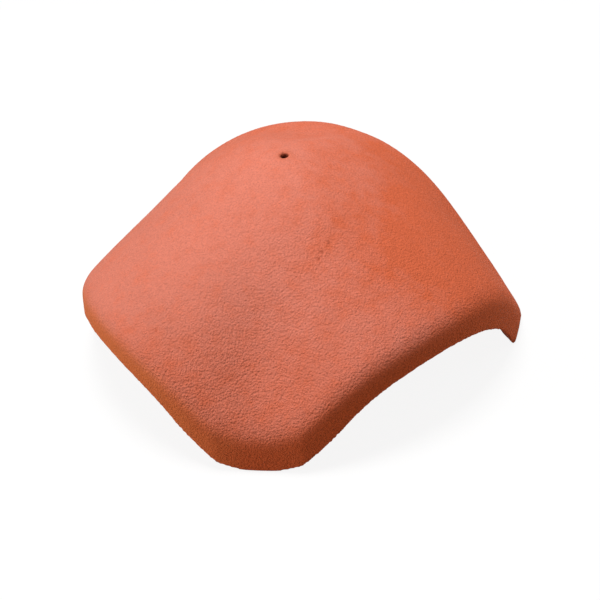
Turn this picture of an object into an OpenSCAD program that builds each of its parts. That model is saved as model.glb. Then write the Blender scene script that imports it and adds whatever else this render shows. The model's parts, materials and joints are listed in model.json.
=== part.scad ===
// Hip distributor tile: a moulded three-way cap for the point where a ridge meets two hips.
// Frame: millimetres, +Z up, standing on its three feet. The ridge arm points to +Y and the
// front apron to -Y. The origin lies on the ground in the middle of the bounding box.

/* [Plan outline] */
// Length from the front apron to the middle of the ridge end
plan_l = 254; // [240:1:268]
// Distance between the corners of the two side feet
foot_span = 321; // [305:1:340]
// Width of the straight front apron
apron_w = 63.5; // [54:0.5:74]
// How far each hip end bulges out from its chord
hip_bulge = 43; // [36:0.5:50]
// How far the ridge end bulges out from its chord
ridge_bulge = 57; // [48:0.5:66]
// Corner radius in plan at the ends of the apron
apron_r = 13.5; // [11.5:0.5:18]
// Corner radius in plan at the two side feet
foot_r = 12.5; // [11.5:0.5:16]

/* [Ridge arm] */
// Radius of the rounded ridge crest
ridge_r = 133; // [120:1:146]
// Angle of the ridge flanks
ridge_flank_angle = 55; // [52:0.5:58]
// Angle at which the ridge crest falls towards its end
ridge_fall_angle = 2.5; // [0:0.5:5]
// How far the ridge crest starts below the hip crests
ridge_step = 25; // [18:0.5:30]

/* [Hip arms] */
// Radius of the rounded hip crests
hip_r = 112.5; // [102:0.5:123]
// Angle of the hip flanks on the side of the apron
hip_front_angle = 47; // [44:0.5:50]
// Angle of the hip flanks on the side of the feet
hip_foot_angle = 61.5; // [58:0.5:64]
// Angle at which the hip crests fall
hip_fall_angle = 28; // [26:0.5:30]
// Angle between each hip crest and the front direction
hip_turn_angle = 45.3; // [43:0.1:48]
// Distance behind the middle of the plan at which the crest lines meet
meet_y = 50.5; // [44:0.5:57]
// Softness of the blend between the arms
blend = 6; // [4:0.5:9]

/* [Wall and edges] */
// Wall thickness, square to the surface
wall = 22; // [18:0.5:24]
// Rounding of the upper edge
edge_r = 9.5; // [6:0.5:11]
// Small bevel of the lower outer edge
low_bevel = 1.5; // [1:0.1:2]

/* [Stance] */
// Depth of the level cut under the apron
foot_cut = 2.5; // [1:0.5:5]
// Angle by which the tile leans back when it stands on its feet
lean_angle = 2.5; // [1:0.5:4]

/* [Nail hole] */
// Diameter of the nail hole
nail_d = 6.5; // [5:0.5:9]
// Distance of the nail hole in front of the point where the crest lines meet
nail_ahead = 9; // [4:0.5:16]

/* [Resolution] */
// Rings between the nail hole and the rounded edge
ring_n = 14; // [10:1:16]

/* [Hidden] */
$fn = 64;

tile_colour = [0.82, 0.45, 0.36];
front_y = -plan_l / 2;
foot_y = plan_l / 2 - ridge_bulge;
nail = [0, meet_y - nail_ahead];
// How an arm dies away behind the meeting point: slope and rounding
tail_k = 0.9;
tail_r = 30;

// Circle through a and b that bulges h to the right of the way from a to b: [x, y, radius]
function bulge_circle(a, b, h) =
    let (l = norm(b - a),
         u = (b - a) / l,
         r = (l * l / 4 + h * h) / (2 * h),
         c = (a + b) / 2 + [u[1], -u[0]] * (h - r))
    [c[0], c[1], r];

// Crossing of two circles [x, y, radius] on the left of the way from p to q
function crossing(p, q) =
    let (d = [q[0] - p[0], q[1] - p[1]],
         l = norm(d),
         u = d / l,
         a = (l * l + p[2] * p[2] - q[2] * q[2]) / (2 * l),
         h = sqrt(p[2] * p[2] - a * a))
    [p[0] + u[0] * a - u[1] * h, p[1] + u[1] * a + u[0] * h];

function bearing(from, to) = atan2(to[1] - from[1], to[0] - from[0]);

// n points on an arc, without its last end, each [x, y, inward x, inward y]
function arc_points(c, r, a0, a1, n) =
    [for (i = [0 : n - 1])
        let (a = a0 + (a1 - a0) * i / n)
        [c[0] + r * cos(a), c[1] + r * sin(a), -cos(a), -sin(a)]];

hip_c = bulge_circle([apron_w / 2, front_y], [foot_span / 2, foot_y], hip_bulge);
ridge_c = bulge_circle([foot_span / 2, foot_y], [-foot_span / 2, foot_y], ridge_bulge);
apron_cy = front_y + apron_r;
apron_c = [hip_c[0] + sqrt(pow(hip_c[2] - apron_r, 2) - pow(apron_cy - hip_c[1], 2)), apron_cy];
foot_c = crossing([hip_c[0], hip_c[1], hip_c[2] - foot_r], [ridge_c[0], ridge_c[1], ridge_c[2] - foot_r]);
apron_a = bearing(hip_c, apron_c);
foot_a = bearing(hip_c, foot_c);
back_a = bearing(ridge_c, foot_c);
foot_tip = foot_c + foot_r * [cos((foot_a + back_a) / 2), sin((foot_a + back_a) / 2)];

// Right half of the outline from the middle of the apron to the middle of the ridge end
half_line = concat(
    [for (i = [0 : 2]) [apron_c[0] * i / 3, front_y, 0, 1]],
    arc_points(apron_c, apron_r, -90, apron_a, 5),
    arc_points(hip_c, hip_c[2], apron_a, foot_a, 20),
    arc_points(foot_c, foot_r, foot_a, back_a, 6),
    arc_points(ridge_c, ridge_c[2], back_a, 90, 16));
half_n = len(half_line);
end_point = [0, plan_l / 2, 0, -1];

// The whole outline, counter-clockwise from the middle of the apron
line = concat(
    half_line,
    [end_point],
    [for (i = [half_n - 1 : -1 : 1]) [-half_line[i][0], half_line[i][1], -half_line[i][2], half_line[i][3]]]);
line_n = len(line);

// Drop of an arm at the distance d from its crest line: an arc of radius r and straight flanks
function arch_drop(d, r, flank) =
    let (arc_end = r * sin(flank))
    abs(d) < arc_end
        ? r - sqrt(r * r - d * d)
        : r * (1 - cos(flank)) + (abs(d) - arc_end) * tan(flank);

// Drop of a crest at the distance t from the meeting point, with the slope k
function run_drop(t, k) = (k - tail_k) / 2 * t + (k + tail_k) / 2 * (sqrt(t * t + tail_r * tail_r) - tail_r);

// Heights of the arms above the meeting point of the hip crests
function ridge_z(x, y) =
    -ridge_step - run_drop(y - meet_y, tan(ridge_fall_angle)) - arch_drop(x, ridge_r, ridge_flank_angle);

// The right hip; d is the distance from its crest line, positive on the side of the foot
function hip_z(x, y) =
    let (v = y - meet_y,
         t = x * sin(hip_turn_angle) - v * cos(hip_turn_angle),
         d = x * cos(hip_turn_angle) + v * sin(hip_turn_angle))
    -run_drop(t, tan(hip_fall_angle)) - arch_drop(d, hip_r, d > 0 ? hip_foot_angle : hip_front_angle);

function sum_up(v, i = 0) = i < len(v) ? v[i] + sum_up(v, i + 1) : 0;

function soft_max(v) =
    let (m = max(v))
    m + blend * ln(sum_up([for (q = v) exp((q - m) / blend)]));

// The three arms blended into one upper surface
function form_z(x, y) = soft_max([ridge_z(x, y), hip_z(x, y), hip_z(-x, y)]);

// Upright thickness of the wall, so that it is even square to the surface
function drop_z(x, y, s = 0.25) =
    let (gx = (form_z(x + s, y) - form_z(x - s, y)) / (2 * s),
         gy = (form_z(x, y + s) - form_z(x, y - s)) / (2 * s))
    wall * sqrt(1 + gx * gx + gy * gy);

function rim_z(p) = form_z(p[0], p[1]) - drop_z(p[0], p[1]);

// Height of the meeting point over the front edge of the ground plane, which cuts all three feet
foot_rise = (foot_tip[1] - front_y) * tan(lean_angle);
crest_h = -foot_cut - max(rim_z([0, front_y]), rim_z(foot_tip) - foot_rise);

// Length of the standing tile, up to the top of the upright ridge end
end_h = crest_h + form_z(0, plan_l / 2) - edge_r;
stand_l = plan_l * cos(lean_angle) + end_h * sin(lean_angle);
// Place of the nail hole on the standing tile
nail_h = crest_h + form_z(nail[0], nail[1]) - wall / 2;
nail_y = (nail[1] - front_y) * cos(lean_angle) + nail_h * sin(lean_angle) - stand_l / 2;

function upper(p, lower_by = 0) = [p[0], p[1], crest_h + form_z(p[0], p[1]) - lower_by];
function under(p, raise = 0) = [p[0], p[1], crest_h + rim_z(p) + raise];

// Point of outline entry q, set in by d
function inset(q, d) = [q[0] + q[2] * d, q[1] + q[3] * d];
// Point of outline entry q on ring k, where ring_n is the ring at the rounded edge
function ringed(q, k) = nail + (inset(q, edge_r) - nail) * k / ring_n;

// The rings from the nail hole on the upper side, over the edge, back to it on the underside
rings = concat(
    [for (k = [1 : ring_n]) [for (q = line) upper(ringed(q, k))]],
    [for (a = [22.5 : 22.5 : 90]) [for (q = line) upper(inset(q, edge_r * (1 - sin(a))), edge_r * (1 - cos(a)))]],
    [[for (q = line) under(q, low_bevel)]],
    [[for (q = line) under(inset(q, low_bevel))]],
    [for (k = [ring_n : -1 : 1]) [for (q = line) under(ringed(q, k))]]);
ring_all = len(rings);
points = concat([upper(nail)], [for (r = rings) each r], [under(nail)]);
last = len(points) - 1;

function at(r, i) = 1 + r * line_n + i % line_n;

faces = concat(
    [for (i = [0 : line_n - 1]) [0, at(0, i + 1), at(0, i)]],
    [for (r = [0 : ring_all - 2], i = [0 : line_n - 1], h = [0, 1])
        i < line_n / 2
            ? (h == 0 ? [at(r, i), at(r, i + 1), at(r + 1, i)] : [at(r, i + 1), at(r + 1, i + 1), at(r + 1, i)])
            : (h == 0 ? [at(r, i), at(r, i + 1), at(r + 1, i + 1)] : [at(r, i), at(r + 1, i + 1), at(r + 1, i)])],
    [for (i = [0 : line_n - 1]) [last, at(ring_all - 1, i), at(ring_all - 1, i + 1)]]);

// The moulded shell before its feet are cut level
module shell() {
    polyhedron(points, faces, convexity = 6);
}

// The shell turned to its stance, with the front edge of the apron on the ground
module standing_shell() {
    translate([0, -stand_l / 2, 0])
        rotate([-lean_angle, 0, 0])
        translate([0, -front_y, 0])
        shell();
}

// The finished tile: level feet and an upright nail hole through the crown
module hip_cap() {
    color(tile_colour)
    difference() {
        standing_shell();
        translate([-foot_span, -plan_l, -crest_h])
            cube([2 * foot_span, 2 * plan_l, crest_h]);
        translate([0, nail_y, crest_h / 2])
            cylinder(d = nail_d, h = crest_h);
    }
}

hip_cap();
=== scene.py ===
"""Dresses the hip distributor tile: a moulded concrete cap with an orange-peel skin, on a white floor."""
import json
import math

import bpy
import numpy as np
from bpy.props import FloatProperty, FloatVectorProperty, PointerProperty
from mathutils import Matrix, Vector

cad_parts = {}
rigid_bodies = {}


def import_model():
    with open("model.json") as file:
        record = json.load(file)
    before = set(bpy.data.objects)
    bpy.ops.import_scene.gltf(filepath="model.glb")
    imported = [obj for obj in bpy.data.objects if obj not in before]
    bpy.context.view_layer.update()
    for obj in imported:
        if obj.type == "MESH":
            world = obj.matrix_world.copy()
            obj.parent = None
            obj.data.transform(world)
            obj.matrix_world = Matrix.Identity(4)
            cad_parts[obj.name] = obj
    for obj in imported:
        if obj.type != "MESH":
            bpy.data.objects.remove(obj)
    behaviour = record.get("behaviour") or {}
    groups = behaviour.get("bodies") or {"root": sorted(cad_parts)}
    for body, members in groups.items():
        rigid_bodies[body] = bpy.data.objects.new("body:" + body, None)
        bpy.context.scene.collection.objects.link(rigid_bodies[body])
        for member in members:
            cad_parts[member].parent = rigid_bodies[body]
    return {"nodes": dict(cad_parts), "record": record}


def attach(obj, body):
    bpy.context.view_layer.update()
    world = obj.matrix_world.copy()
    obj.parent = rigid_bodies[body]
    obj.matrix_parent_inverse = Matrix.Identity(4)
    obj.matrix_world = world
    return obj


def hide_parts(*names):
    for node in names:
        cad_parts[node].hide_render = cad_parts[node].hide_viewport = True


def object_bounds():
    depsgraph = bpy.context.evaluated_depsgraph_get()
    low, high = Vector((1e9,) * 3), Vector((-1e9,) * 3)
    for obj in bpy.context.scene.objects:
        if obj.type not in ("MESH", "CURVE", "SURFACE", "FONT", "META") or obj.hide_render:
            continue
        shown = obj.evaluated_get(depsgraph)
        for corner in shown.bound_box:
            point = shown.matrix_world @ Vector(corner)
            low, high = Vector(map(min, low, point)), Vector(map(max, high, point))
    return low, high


bl_info = {
    "name": "Hip distributor tile",
    "version": (1, 0, 0),
    "blender": (4, 5, 0),
    "location": "View3D > Sidebar > Hip tile",
    "description": "Models the skin of a moulded three-way roof cap and sets its studio",
    "category": "Object",
}

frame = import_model()
CAD_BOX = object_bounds()
NODE = "hip_cap"
MM = 0.001
# The nail hole: the middle of its bore, and its length
NAIL_MOUNT = frame["record"]["mounts"][0]
NAIL = Vector(NAIL_MOUNT["pos_m"])
NAIL_LENGTH = NAIL_MOUNT["dims"]["length_mm"] * MM
# Sockets of a Mix node that mixes colours
MIX_SHARE, MIX_FIRST, MIX_SECOND, MIX_RESULT = 0, 6, 7, 2


def linear(hex_colour):
    """An sRGB hex colour as linear RGB."""
    channels = [int(hex_colour[i:i + 2], 16) / 255 for i in (1, 3, 5)]
    return tuple(c / 12.92 if c <= 0.04045 else ((c + 0.055) / 1.055) ** 2.4 for c in channels)


class TileSkin(bpy.types.PropertyGroup):
    """Sizes and colours of the moulded skin."""

    voxel: FloatProperty(
        name="Mesh size", description="Edge length of the even mesh of the skin",
        default=1.4 * MM, unit="LENGTH", precision=5)
    wave_size: FloatProperty(
        name="Wave size", description="Spacing of the broad waves that the mould leaves",
        default=34 * MM, unit="LENGTH")
    wave_depth: FloatProperty(
        name="Wave depth", description="Height of the broad waves",
        default=0.8 * MM, unit="LENGTH", precision=5)
    peel_size: FloatProperty(
        name="Peel size", description="Spacing of the orange-peel bumps",
        default=2.2 * MM, unit="LENGTH", precision=5)
    peel_depth: FloatProperty(
        name="Peel depth", description="Height of the orange-peel bumps",
        default=0.34 * MM, unit="LENGTH", precision=5)
    pit_depth: FloatProperty(
        name="Pit depth", description="Depth of the single pits that air bubbles leave",
        default=0.7 * MM, unit="LENGTH", precision=5)
    grain_size: FloatProperty(
        name="Grain size", description="Size of the sand grains that show through the skin",
        default=1.4 * MM, unit="LENGTH", precision=5)
    face_colour: FloatVectorProperty(
        name="Face", description="Main colour of the upper face",
        default=linear("#D57A65"), subtype="COLOR", size=3)
    # Painted light: the duller, pinker tint of the left side, where the light falls
    lit_side_colour: FloatVectorProperty(
        name="Pale skin", description="Duller, pinker bloom on the smooth left side of the face",
        default=linear("#CB7561"), subtype="COLOR", size=3)
    # Painted shade: the stronger orange of the shaded right side, also used on the crown, the front and in
    # small random patches
    orange_shade_and_patch_colour: FloatVectorProperty(
        name="Warm patch", description="Stronger orange on the right side, the crown and in patches",
        default=linear("#D26440"), subtype="COLOR", size=3)
    # Painted shade: the browner tint of the upright rim and the underside, which face away from the light
    shaded_rim_colour: FloatVectorProperty(
        name="Rim", description="Browner colour of the upright rim and the underside",
        default=linear("#BB542A"), subtype="COLOR", size=3)
    # Painted light: the rim is lighter on the left side, where the light falls
    lit_rim_colour: FloatVectorProperty(
        name="Left rim", description="Lighter orange of the rim on the left side",
        default=linear("#D06D3B"), subtype="COLOR", size=3)
    # Painted shade: the dark inside the nail hole
    hole_shade_colour: FloatVectorProperty(
        name="Nail hole", description="Dark wall of the nail hole",
        default=linear("#8E4029"), subtype="COLOR", size=3)
    # Dark sand grains, and painted shade in the pits
    grain_and_pit_shade_colour: FloatVectorProperty(
        name="Grain shade", description="Dark sand grains and pits",
        default=linear("#A9523A"), subtype="COLOR", size=3)


class StudioLight(bpy.types.PropertyGroup):
    """Camera, lamps and paper of the studio."""

    view_height: FloatProperty(
        name="Camera height", description="Angle of the view above the floor",
        default=0.6472, unit="ROTATION")
    view_turn: FloatProperty(
        name="Camera turn", description="Turn of the view to the right of the front",
        default=0.2744, unit="ROTATION")
    view_roll: FloatProperty(
        name="Camera roll", description="Roll of the camera about its view line",
        default=-0.1341, unit="ROTATION")
    view_distance: FloatProperty(
        name="Camera distance", description="Distance from the camera to the middle of the tile",
        default=2.6548, unit="LENGTH")
    key_power: FloatProperty(
        name="Key power", description="Power of the lamp above the tile",
        default=27.2, unit="POWER")
    left_power: FloatProperty(
        name="Left power", description="Power of the low lamp on the left",
        default=9.0, unit="POWER")
    right_power: FloatProperty(
        name="Right power", description="Power of the low lamp on the right",
        default=4.0, unit="POWER")
    sky: FloatProperty(
        name="Sky", description="Strength of the even light from all sides",
        default=0.15)
    sky_colour: FloatVectorProperty(
        name="Sky colour", description="Colour of the even light from all sides",
        default=linear("#FFF7ED"), subtype="COLOR", size=3)
    paper_size: FloatProperty(
        name="Paper size", description="Side of the white paper under the tile",
        default=8, unit="LENGTH")
    paper_colour: FloatVectorProperty(
        name="Paper", description="Shaded part of the paper as the camera sees it",
        default=linear("#CBCBCB"), subtype="COLOR", size=3)
    bounce_colour: FloatVectorProperty(
        name="Bounce", description="Colour that the paper throws back at the tile",
        default=linear("#C4B5A4"), subtype="COLOR", size=3)


def deselect():
    """Deselects everything, because an operator acts on all that is selected."""
    bpy.ops.object.select_all(action="DESELECT")


def activate(obj):
    """Selects one object alone and makes it the active one."""
    deselect()
    obj.select_set(True)
    bpy.context.view_layer.objects.active = obj


def apply_modifier(obj, kind, **settings):
    """Adds a modifier, sets it and applies it."""
    activate(obj)
    modifier = obj.modifiers.new(kind.title(), kind)
    for name, value in settings.items():
        setattr(modifier, name, value)
    bpy.ops.object.modifier_apply(modifier=modifier.name)


def from_hole(vertex):
    """Distance of a vertex from the axis of the nail hole."""
    return (vertex.co.xy - NAIL.xy).length


def smooth_step(value, start, end):
    """0 at start, 1 at end, with a soft run between them."""
    t = min(1.0, max(0.0, (value - start) / (end - start)))
    return t * t * (3 - 2 * t)


def spread(mesh, values, rounds):
    """Averages a value of each vertex with its neighbours, round by round, to make its border soft."""
    count = len(mesh.vertices)
    ends = np.empty(2 * len(mesh.edges), dtype=np.int32)
    mesh.edges.foreach_get("vertices", ends)
    first, second = ends.reshape(-1, 2).T
    neighbours = np.maximum(np.bincount(ends, minlength=count), 1)
    values = np.array(values)
    for _ in range(rounds):
        around = np.bincount(first, values[second], count) + np.bincount(second, values[first], count)
        values = (values + around / neighbours) / 2
    return values.tolist()


def add_node(tree, kind, inputs=None, **settings):
    """Adds a node with its settings, input values and links."""
    node = tree.nodes.new(kind)
    for name, value in settings.items():
        setattr(node, name, value)
    for socket, source in (inputs or {}).items():
        if isinstance(source, bpy.types.NodeSocket):
            tree.links.new(source, node.inputs[socket])
        else:
            node.inputs[socket].default_value = source
    return node


def new_material(name):
    """A material with an empty tree of nodes."""
    material = bpy.data.materials.new(name)
    material.use_nodes = True
    material.node_tree.nodes.clear()
    return material


def shows_itself(tree):
    """1 for rays that show the background, by eye, gloss or glass, and 0 for those that carry its light."""
    path = add_node(tree, "ShaderNodeLightPath").outputs
    seen = add_node(tree, "ShaderNodeMath", {
        0: path["Is Camera Ray"], 1: path["Is Glossy Ray"]}, operation="MAXIMUM")
    seen = add_node(tree, "ShaderNodeMath", {
        0: seen.outputs[0], 1: path["Is Transmission Ray"]}, operation="MAXIMUM")
    return seen.outputs[0]


def moulded_concrete(skin):
    """Pigmented concrete pressed in a mould: matte, terracotta red, with sand that shows as dark grains.

    The smooth left side, where the light falls, has a duller, pinker tint that is painted light, and the
    shaded right side a stronger orange that is painted shade. The rim is browner, painted shade, and lighter
    on the left, painted light, and the nail hole is darkened with painted shade.
    """
    material = new_material("terracotta_pigmented_concrete_moulded")
    tree = material.node_tree
    place = add_node(tree, "ShaderNodeTexCoord").outputs["Object"]
    axes = add_node(tree, "ShaderNodeSeparateXYZ", {0: place}).outputs
    rim = add_node(tree, "ShaderNodeAttribute", attribute_name="rim").outputs["Fac"]
    coarse = add_node(tree, "ShaderNodeAttribute", attribute_name="coarse").outputs["Fac"]
    pits = add_node(tree, "ShaderNodeAttribute", attribute_name="pits").outputs["Fac"]
    bore = add_node(tree, "ShaderNodeAttribute", attribute_name="bore").outputs["Fac"]

    # Cloudy patches, 25 to 60 mm wide, that break up the borders of all the tints
    cloud = add_node(tree, "ShaderNodeTexNoise", {
        "Vector": place, "Scale": 1 / (40 * MM), "Detail": 4.0}).outputs["Fac"]
    cloud = add_node(tree, "ShaderNodeMath", {0: cloud, 1: 0.5}, operation="SUBTRACT").outputs[0]
    across = add_node(tree, "ShaderNodeMath", {
        0: cloud, 1: 160 * MM, 2: axes["X"]}, operation="MULTIPLY_ADD").outputs[0]

    # Where the painted light lies (the lit left side, in a duller, pinker tint), and the stronger orange
    # (painted shade on the shaded right side, and more orange on the crown and the front)
    lit_tint = add_node(tree, "ShaderNodeMapRange", {
        "Value": across, "From Min": 20 * MM,
        "From Max": -110 * MM}, interpolation_type="SMOOTHSTEP").outputs[0]
    warm = add_node(tree, "ShaderNodeMapRange", {
        "Value": across, "From Min": -5 * MM,
        "From Max": 95 * MM}, interpolation_type="SMOOTHSTEP").outputs[0]
    along = add_node(tree, "ShaderNodeMapRange", {
        "Value": axes["Y"], "From Min": -85 * MM, "From Max": -15 * MM,
        "To Min": 0.15}, interpolation_type="SMOOTHSTEP").outputs[0]
    warm = add_node(tree, "ShaderNodeMath", {0: warm, 1: along}, operation="MULTIPLY").outputs[0]
    crown = add_node(tree, "ShaderNodeMapRange", {
        "Value": axes["Y"], "From Min": 30 * MM, "From Max": 120 * MM,
        "To Max": 0.45}, interpolation_type="SMOOTHSTEP").outputs[0]
    warm = add_node(tree, "ShaderNodeMath", {0: warm, 1: crown}, operation="MAXIMUM").outputs[0]
    front = add_node(tree, "ShaderNodeMapRange", {
        "Value": axes["Y"], "From Min": -50 * MM, "From Max": -110 * MM,
        "To Max": 0.36}, interpolation_type="SMOOTHSTEP").outputs[0]
    warm = add_node(tree, "ShaderNodeMath", {0: warm, 1: front}, operation="MAXIMUM").outputs[0]

    # Small warm patches, about 12 mm wide, where the pigment is stronger
    mottle = add_node(tree, "ShaderNodeTexNoise", {
        "Vector": place, "Scale": 1 / (12 * MM), "Detail": 4.0, "Roughness": 0.65}).outputs["Fac"]
    mottle = add_node(tree, "ShaderNodeMapRange", {
        "Value": mottle, "From Min": 0.42, "From Max": 0.72, "To Min": -0.08, "To Max": 0.34}).outputs[0]
    warm = add_node(tree, "ShaderNodeMath", {0: warm, 1: mottle}, operation="ADD", use_clamp=True).outputs[0]
    # Painted light: the lit left side turns duller and pinker
    face = add_node(tree, "ShaderNodeMix", {
        MIX_SHARE: lit_tint,
        MIX_FIRST: (*skin.face_colour, 1),
        MIX_SECOND: (*skin.lit_side_colour, 1)}, data_type="RGBA").outputs[MIX_RESULT]
    # Painted shade: the shaded right side turns a stronger orange; the crown, the front and the small patches
    # are more orange too
    face = add_node(tree, "ShaderNodeMix", {
        MIX_SHARE: warm,
        MIX_FIRST: face,
        MIX_SECOND: (*skin.orange_shade_and_patch_colour, 1)}, data_type="RGBA").outputs[MIX_RESULT]

    # Dark sand grains, and faint streaks along the stroke with which the wet mix was smoothed
    grain = add_node(tree, "ShaderNodeTexNoise", {
        "Vector": place, "Scale": 1 / skin.grain_size, "Detail": 2.0, "Roughness": 0.6}).outputs["Fac"]
    stroke = add_node(tree, "ShaderNodeMapping", {
        "Vector": place, "Rotation": (0, 0, math.radians(-38)), "Scale": (1, 4.5, 1)}).outputs[0]
    streak = add_node(tree, "ShaderNodeTexNoise", {
        "Vector": stroke, "Scale": 1 / (22 * MM), "Detail": 3.0, "Roughness": 0.6}).outputs["Fac"]
    dark = add_node(tree, "ShaderNodeMath", {
        0: streak, 1: 0.45, 2: grain}, operation="MULTIPLY_ADD").outputs[0]
    dark = add_node(tree, "ShaderNodeMapRange", {
        "Value": dark, "From Min": 0.66, "From Max": 0.98,
        "To Max": 0.3}, interpolation_type="SMOOTHSTEP").outputs[0]
    dark = add_node(tree, "ShaderNodeMath", {0: dark, 1: coarse}, operation="MULTIPLY").outputs[0]
    # Painted shade: the pits are darkened as well
    dark = add_node(tree, "ShaderNodeMath", {0: dark, 1: pits}, operation="MAXIMUM").outputs[0]
    face = add_node(tree, "ShaderNodeMix", {
        MIX_SHARE: dark,
        MIX_FIRST: face,
        MIX_SECOND: (*skin.grain_and_pit_shade_colour, 1)}, data_type="RGBA").outputs[MIX_RESULT]

    # The rim in a browner tint, painted shade of its upright and downward faces, lighter on the left as
    # painted light where the light falls, and the nail hole darkened with painted shade
    edge = add_node(tree, "ShaderNodeMix", {
        MIX_SHARE: lit_tint,
        MIX_FIRST: (*skin.shaded_rim_colour, 1),
        MIX_SECOND: (*skin.lit_rim_colour, 1)}, data_type="RGBA").outputs[MIX_RESULT]
    whole = add_node(tree, "ShaderNodeMix", {
        MIX_SHARE: rim,
        MIX_FIRST: face,
        MIX_SECOND: edge}, data_type="RGBA").outputs[MIX_RESULT]
    whole = add_node(tree, "ShaderNodeMix", {
        MIX_SHARE: bore,
        MIX_FIRST: whole,
        MIX_SECOND: (*skin.hole_shade_colour, 1)}, data_type="RGBA").outputs[MIX_RESULT]

    # The grains also differ in tone on the whole tile, less on the rim
    tone = add_node(tree, "ShaderNodeMapRange", {
        "Value": grain, "From Min": 0.3, "From Max": 0.7, "To Min": 0.84, "To Max": 1.16}).outputs[0]
    share = add_node(tree, "ShaderNodeMapRange", {"Value": rim, "To Min": 1.0, "To Max": 0.5}).outputs[0]
    whole = add_node(tree, "ShaderNodeMix", {
        MIX_SHARE: share,
        MIX_FIRST: whole,
        MIX_SECOND: tone}, data_type="RGBA", blend_type="MULTIPLY").outputs[MIX_RESULT]

    # Grains 1.6 mm apart that stand out as rounded bumps, finer than the mesh can hold
    pebble = add_node(tree, "ShaderNodeTexVoronoi", {
        "Vector": place, "Scale": 1 / (1.6 * MM)}).outputs["Distance"]
    height = add_node(tree, "ShaderNodeMath", {0: grain, 1: pebble}, operation="SUBTRACT").outputs[0]
    bump = add_node(tree, "ShaderNodeBump", {
        "Height": height, "Strength": coarse, "Distance": 0.72 * MM}).outputs[0]
    shader = add_node(tree, "ShaderNodeBsdfPrincipled", {
        "Base Color": whole, "Roughness": 0.85, "IOR": 1.5,
        "Specular IOR Level": 0.19, "Normal": bump})
    add_node(tree, "ShaderNodeOutputMaterial", {"Surface": shader.outputs[0]})
    return material


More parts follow.
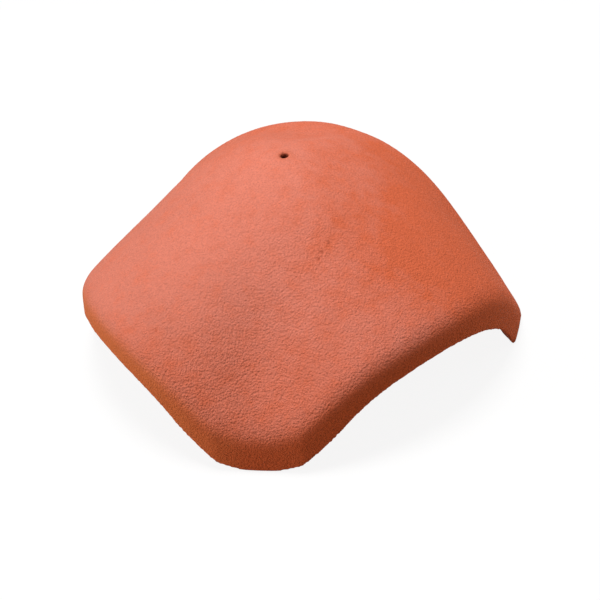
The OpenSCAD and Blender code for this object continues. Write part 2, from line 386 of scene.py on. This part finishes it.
class OBJECT_OT_hip_tile_body(bpy.types.Operator):
    """Model the moulded tile over its solid"""

    bl_idname = "object.hip_tile_body"
    bl_label = "Tile body"

    # Single pits: their places in plan and radii at half depth, in millimetres, and the upward share of the
    # normal above which a face can have one
    pits = ((-76.4, -81.1, 0.9), (42.4, -20.6, 1.0), (38.3, -27.8, 1.0), (36.8, -32.9, 0.9))
    pit_facing = 0.3

    # How near to the axis of the nail hole the further smoothing and the thinning leave the mesh as it is
    hole_smooth = 9 * MM
    hole_thin = 12 * MM
    # Thinning of the underside: the share of all triangles that it aims at, the rows of faces that it leaves
    # beside the rim, and the upward share of the normal below which a face belongs to the underside
    thin_share = 0.67
    thin_rows = 4
    thin_facing = -0.4

    # Upward share of the normal where the rim's painted shade starts and is full, and the rounds that soften
    # it
    rim_start = 0.5
    rim_full = 0.15
    rim_rounds = 40
    # Share of the peel that the rim loses, and the coarseness of the smooth back and left side
    rim_calm = 0.85
    smooth_share = 0.58
    # Where the skin turns from smooth to coarse, in millimetres: towards the front, on a line that slants
    # with the width, and away from the left side
    front_slant = 0.35
    front_smooth = 30
    front_coarse = -110
    left_smooth = -165
    left_coarse = -60
    # Depth below the mouth where the painted shade of the nail hole starts and is full, and its reach from
    # the axis
    bore_start = 0.4 * MM
    bore_full = 2.4 * MM
    bore_reach = 4 * MM

    def execute(self, context):
        skin = context.scene.tile_skin
        activate(frame["nodes"][NODE])
        bpy.ops.object.duplicate()
        tile = context.view_layer.objects.active
        tile.name = "moulded_hip_tile"
        tile.parent = None
        self.smooth_form(tile)
        self.even_mesh(tile, skin)
        self.mark(tile)
        self.relief(tile, skin)
        tile.vertex_groups.clear()
        tile.data.materials.clear()
        tile.data.materials.append(moulded_concrete(skin))
        activate(tile)
        bpy.ops.object.shade_smooth()
        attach(tile, "root")
        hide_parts(NODE)
        return {"FINISHED"}

    @staticmethod
    def smooth_form(tile):
        """Turns the faceted solid into a smooth surface that keeps its sharp edges."""
        activate(tile)
        bpy.ops.object.mode_set(mode="EDIT")
        bpy.ops.mesh.select_all(action="SELECT")
        bpy.ops.mesh.remove_doubles(threshold=0.01 * MM)
        bpy.ops.mesh.tris_convert_to_quads(face_threshold=math.radians(25), shape_threshold=math.radians(80))
        bpy.ops.mesh.select_all(action="DESELECT")
        bpy.ops.mesh.select_mode(type="EDGE")
        bpy.ops.mesh.edges_select_sharp(sharpness=math.radians(34))
        bpy.ops.transform.edge_crease(value=1)
        bpy.ops.object.mode_set(mode="OBJECT")
        apply_modifier(tile, "SUBSURF", levels=2, render_levels=2)

    @classmethod
    def even_mesh(cls, tile, skin):
        """Lays an even mesh over the form, fine on the face and coarser on the underside."""
        apply_modifier(tile, "REMESH", mode="VOXEL", voxel_size=skin.voxel)
        apply_modifier(tile, "SMOOTH", factor=0.5, iterations=2)
        # More smoothing rounds the low edges, but would widen the nail hole
        plain = tile.vertex_groups.new(name="away_from_hole")
        plain.add([v.index for v in tile.data.vertices if from_hole(v) > cls.hole_smooth], 1.0, "REPLACE")
        apply_modifier(tile, "SMOOTH", factor=0.5, iterations=8, vertex_group="away_from_hole")
        # The thinned area ends some rows of faces before the rim, so that the rim keeps its even edge
        activate(tile)
        tile.vertex_groups.new(name="underside")
        bpy.ops.object.mode_set(mode="EDIT")
        bpy.ops.mesh.select_mode(type="VERT")
        bpy.ops.mesh.select_all(action="DESELECT")
        bpy.ops.object.mode_set(mode="OBJECT")
        for v in tile.data.vertices:
            v.select = v.normal.z < cls.thin_facing and from_hole(v) > cls.hole_thin
        bpy.ops.object.mode_set(mode="EDIT")
        for _ in range(cls.thin_rows):
            bpy.ops.mesh.select_less()
        bpy.ops.object.vertex_group_assign()
        bpy.ops.object.mode_set(mode="OBJECT")
        apply_modifier(tile, "DECIMATE", ratio=cls.thin_share, vertex_group="underside",
                       use_collapse_triangulate=True)
        # Thinning leaves some thin triangles, whose long edges are turned
        activate(tile)
        bpy.ops.object.mode_set(mode="EDIT")
        bpy.ops.mesh.select_all(action="DESELECT")
        bpy.ops.object.vertex_group_set_active(group="underside")
        bpy.ops.object.vertex_group_select()
        bpy.ops.mesh.beautify_fill()
        bpy.ops.object.mode_set(mode="OBJECT")
        apply_modifier(tile, "SMOOTH", factor=0.5, iterations=2, vertex_group="underside")

    @classmethod
    def mark(cls, tile):
        """Marks the rim, the coarse part of the face, the pits and the nail hole, for relief and material."""
        mesh = tile.data
        places = [(v.co.x / MM, v.co.y / MM, v.normal.z) for v in mesh.vertices]
        # The rim's mask carries the painted shade of the upright and downward faces in the material
        upright = [smooth_step(up, cls.rim_start, cls.rim_full) for x, y, up in places]
        rim = spread(mesh, upright, cls.rim_rounds)
        front = [smooth_step(y - cls.front_slant * x, cls.front_smooth, cls.front_coarse)
                 * smooth_step(x, cls.left_smooth, cls.left_coarse) for x, y, up in places]
        coarse = [cls.smooth_share + (1 - cls.smooth_share) * share for share in front]
        # Pits are real dents, and the material also darkens them with painted shade
        pits = [max(smooth_step(math.hypot(x - px, y - py), 2 * r, 0) for px, py, r in cls.pits)
                if up > cls.pit_facing else 0.0 for x, y, up in places]
        # The nail hole's wall is marked for painted shade
        mouth = NAIL.z + NAIL_LENGTH / 2
        bore = [smooth_step(mouth - v.co.z, cls.bore_start, cls.bore_full)
                if from_hole(v) < cls.bore_reach else 0.0 for v in mesh.vertices]
        for name, values in (("bore", bore), ("rim", rim), ("coarse", coarse), ("pits", pits)):
            mesh.attributes.new(name, "FLOAT", "POINT").data.foreach_set("value", values)
        peel_group = tile.vertex_groups.new(name="coarse")
        pit_group = tile.vertex_groups.new(name="pits")
        for i in range(len(places)):
            peel_group.add([i], coarse[i] * (1 - cls.rim_calm * rim[i]), "REPLACE")
            if pits[i]:
                pit_group.add([i], pits[i], "REPLACE")

    @staticmethod
    def relief(tile, skin):
        """Broad waves, orange-peel bumps and single pits of the moulded skin."""
        waves = bpy.data.textures.new("mould_waves", "CLOUDS")
        waves.noise_scale = skin.wave_size
        waves.noise_depth = 0
        apply_modifier(tile, "DISPLACE", texture=waves, texture_coords="LOCAL", strength=skin.wave_depth,
                       mid_level=0.5)
        # Rounded bumps with grooves between them: the distance to the middle of a bump lowers the face
        peel = bpy.data.textures.new("orange_peel", "VORONOI")
        peel.noise_scale = skin.peel_size
        apply_modifier(tile, "DISPLACE", texture=peel, texture_coords="LOCAL", strength=-skin.peel_depth,
                       mid_level=0.5, vertex_group="coarse")
        apply_modifier(tile, "DISPLACE", strength=-skin.pit_depth, mid_level=0, vertex_group="pits")


class OBJECT_OT_hip_tile_stage(bpy.types.Operator):
    """Set the white floor, the lamps and the camera"""

    bl_idname = "object.hip_tile_stage"
    bl_label = "Studio"

    # What the camera sees of the paper: the share that is white by itself, while the rest takes the shadow,
    # and the strength of that white
    white_share = 0.82
    white_strength = 1.09

    # The photo's width in pixels, its pixels per metre at the target, and how far its middle lies to the
    # right of the target and above it, in pixels
    image_width = 600
    pixels_per_metre = 1368
    middle_right = 14.0
    middle_up = -5.0

    def execute(self, context):
        light = context.scene.studio_light
        self.floor(light)
        self.world(context, light)
        self.lamps(light)
        self.camera(context, light)
        context.scene.view_settings.view_transform = "Standard"
        return {"FINISHED"}

    @classmethod
    def floor(cls, light):
        """Paper that the camera sees as white with a faint shadow, and that throws some light at the tile."""
        deselect()
        bpy.ops.mesh.primitive_plane_add(size=light.paper_size)
        floor = bpy.context.view_layer.objects.active
        floor.name = "studio_floor"
        material = new_material("white_studio_paper")
        tree = material.node_tree
        seen = shows_itself(tree)
        share = add_node(tree, "ShaderNodeMath", {0: seen, 1: cls.white_share}, operation="MULTIPLY")
        tint = add_node(tree, "ShaderNodeMix", {
            MIX_SHARE: seen,
            MIX_FIRST: (*light.bounce_colour, 1),
            MIX_SECOND: (*light.paper_colour, 1)}, data_type="RGBA").outputs[MIX_RESULT]
        paper = add_node(tree, "ShaderNodeBsdfDiffuse", {"Color": tint})
        glow = add_node(tree, "ShaderNodeEmission", {
            "Color": (*linear("#FFFFFF"), 1), "Strength": cls.white_strength})
        both = add_node(tree, "ShaderNodeMixShader", {
            0: share.outputs[0], 1: paper.outputs[0], 2: glow.outputs[0]})
        add_node(tree, "ShaderNodeOutputMaterial", {"Surface": both.outputs[0]})
        floor.data.materials.append(material)

    @staticmethod
    def world(context, light):
        """A dim sky that lights the tile, and that is white where it is seen."""
        world = bpy.data.worlds.new("studio")
        world.use_nodes = True
        tree = world.node_tree
        tree.nodes.clear()
        even = add_node(tree, "ShaderNodeBackground", {
            "Color": (*light.sky_colour, 1), "Strength": light.sky})
        white = add_node(tree, "ShaderNodeBackground", {"Color": (*linear("#FFFFFF"), 1), "Strength": 1.0})
        both = add_node(tree, "ShaderNodeMixShader", {
            0: shows_itself(tree), 1: even.outputs[0], 2: white.outputs[0]})
        add_node(tree, "ShaderNodeOutputWorld", {"Surface": both.outputs[0]})
        context.scene.world = world

    @staticmethod
    def lamps(light):
        """A lamp above the tile and a low one on each side."""
        middle = (Vector(CAD_BOX[0]) + Vector(CAD_BOX[1])) / 2
        # Name, power, angles of height and of bearing from +X in degrees, distance and size of each lamp
        for name, power, height, bearing, distance, size in (
                ("key_lamp", light.key_power, 86, 160, 1.7, 0.7),
                ("left_lamp", light.left_power, 20, 205, 1.5, 0.8),
                ("right_lamp", light.right_power, 20, 35, 1.5, 0.8)):
            up, turn = math.radians(height), math.radians(bearing)
            towards = Vector((math.cos(up) * math.cos(turn), math.cos(up) * math.sin(turn), math.sin(up)))
            deselect()
            bpy.ops.object.light_add(type="AREA", location=middle + towards * distance)
            lamp = bpy.context.view_layer.objects.active
            lamp.name = name
            lamp.data.energy = power
            lamp.data.size = size
            lamp.rotation_euler = (-towards).to_track_quat("-Z", "Y").to_euler()

    @classmethod
    def camera(cls, context, light):
        """The camera of the photo."""
        target = Vector((0, 0, 60 * MM))
        back = Vector((
            math.sin(light.view_turn) * math.cos(light.view_height),
            -math.cos(light.view_turn) * math.cos(light.view_height),
            math.sin(light.view_height)))
        deselect()
        bpy.ops.object.camera_add(location=target + back * light.view_distance)
        camera = context.view_layer.objects.active
        camera.name = "photo_camera"
        turn = (-back).to_track_quat("-Z", "Y").to_matrix()
        camera.rotation_euler = (turn @ Matrix.Rotation(light.view_roll, 3, "Z")).to_euler()
        camera.data.sensor_width = 36
        width_at_target = cls.image_width / cls.pixels_per_metre
        camera.data.lens = camera.data.sensor_width * light.view_distance / width_at_target
        camera.data.shift_x = cls.middle_right / cls.image_width
        camera.data.shift_y = cls.middle_up / cls.image_width
        context.scene.camera = camera


class VIEW3D_PT_hip_tile(bpy.types.Panel):
    """Tools of the hip tile"""

    bl_label = "Hip tile"
    bl_space_type = "VIEW_3D"
    bl_region_type = "UI"
    bl_category = "Hip tile"

    def draw(self, context):
        for name in OPERATORS:
            self.layout.operator(name)
        for group in (context.scene.tile_skin, context.scene.studio_light):
            for name in group.__annotations__:
                self.layout.prop(group, name)


OPERATORS = (OBJECT_OT_hip_tile_body.bl_idname, OBJECT_OT_hip_tile_stage.bl_idname)
CLASSES = (TileSkin, StudioLight, OBJECT_OT_hip_tile_body, OBJECT_OT_hip_tile_stage, VIEW3D_PT_hip_tile)


def register():
    for cls in CLASSES:
        bpy.utils.register_class(cls)
    bpy.types.Scene.tile_skin = PointerProperty(type=TileSkin)
    bpy.types.Scene.studio_light = PointerProperty(type=StudioLight)


def unregister():
    del bpy.types.Scene.studio_light
    del bpy.types.Scene.tile_skin
    for cls in reversed(CLASSES):
        bpy.utils.unregister_class(cls)


def main():
    register()
    bpy.ops.object.hip_tile_body()
    bpy.ops.object.hip_tile_stage()


if __name__ == "__main__":
    main()
